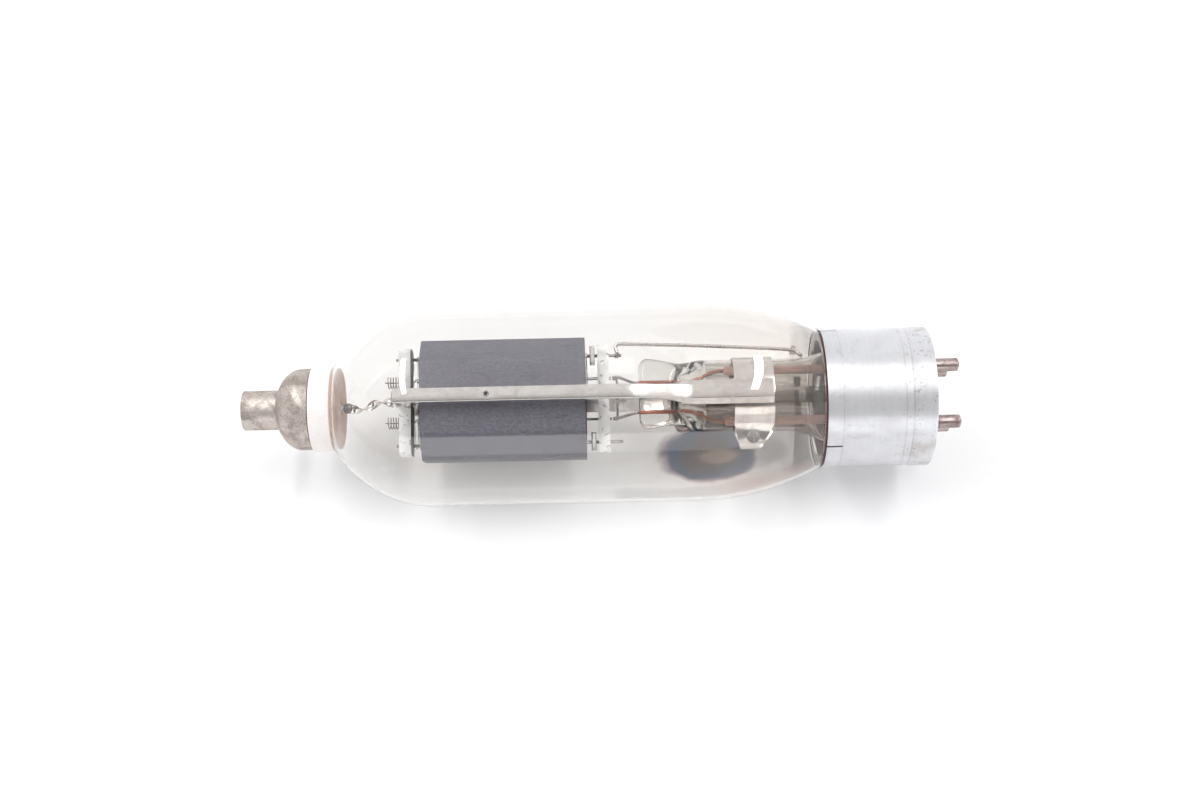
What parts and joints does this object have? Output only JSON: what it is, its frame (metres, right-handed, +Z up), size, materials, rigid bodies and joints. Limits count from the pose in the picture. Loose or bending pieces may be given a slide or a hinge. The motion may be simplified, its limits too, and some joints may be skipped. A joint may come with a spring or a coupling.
{
  "type": "vacuum tube",
  "caption": "Glass power triode with a plate cap at one end and a metal pin base at the other, lying on its side.",
  "frame": {"origin": "centre of the underside of the bounding box, on the surface the bulb lies on", "axes": "+X along the tube from the top cap to the base pins, +Z up, -Y towards the side the cage's front bar leans to"},
  "size_m": [0.257, 0.0724, 0.0724],
  "materials": {
    "clear_glass": "clear, faintly smoked",
    "bright_aluminium": "satin, lightly scuffed",
    "white_ceramic": "unglazed, smooth",
    "bare_ceramic": "unglazed, mottled",
    "brown_cement": "matte",
    "tarnished_brass": "tarnished",
    "tarnished_nickel": "worn nickel plating",
    "bright_nickel": "bright sheet",
    "graphite": "matte, machined",
    "molybdenum": "drawn rod, dull",
    "tungsten": "drawn wire, dull",
    "copper_wire": "oxidised",
    "getter_metal": "dull"
  },
  "bodies": {
    "root": {"anode": "graphite", "anode_lead_rod": "molybdenum", "anode_ribbon": "bright_nickel", "band_nut": "bright_nickel", "band_screw": "bright_nickel", "base_cement": "brown_cement", "base_shell": "bright_aluminium", "base_side_spacer": "bare_ceramic", "base_wafer": "white_ceramic", "bayonet_pin": "tarnished_brass", "cap_cement": "brown_cement", "cap_insulator_ring": "white_ceramic", "cap_shell": "tarnished_nickel", "cap_side_spacer": "bare_ceramic", "exhaust_tube": "clear_glass", "filament_bridge": "molybdenum", "filament_hook_lower": "molybdenum", "filament_hook_upper": "molybdenum", "filament_lower": "tungsten", "filament_rod_lower": "molybdenum", "filament_rod_upper": "molybdenum", "filament_spring_lower": "tungsten", "filament_spring_upper": "tungsten", "filament_upper": "tungsten", "filament_wire_lower": "copper_wire", "filament_wire_upper": "copper_wire", "front_anode_stud": "molybdenum", "front_bar": "bright_nickel", "getter_cup": "getter_metal", "getter_wire": "bright_nickel", "glass_bulb": "clear_glass", "glass_stem": "clear_glass", "grid_collar_lower": "bright_nickel", "grid_collar_upper": "bright_nickel", "grid_helix": "molybdenum", "grid_lead": "molybdenum", "grid_lead_bead": "clear_glass", "grid_rod_lower": "molybdenum", "grid_rod_upper": "molybdenum", "grid_wire": "copper_wire", "pin_1": "tarnished_brass", "pin_2": "tarnished_brass", "pin_3": "tarnished_brass", "pin_4": "tarnished_brass", "rear_anode_stud": "molybdenum", "rear_bar": "bright_nickel", "seal_wire_lower": "copper_wire", "seal_wire_upper": "copper_wire", "stem_band": "bright_nickel", "top_yoke": "bright_nickel", "yoke_rivet": "bright_nickel"}
  },
  "joints": []
}
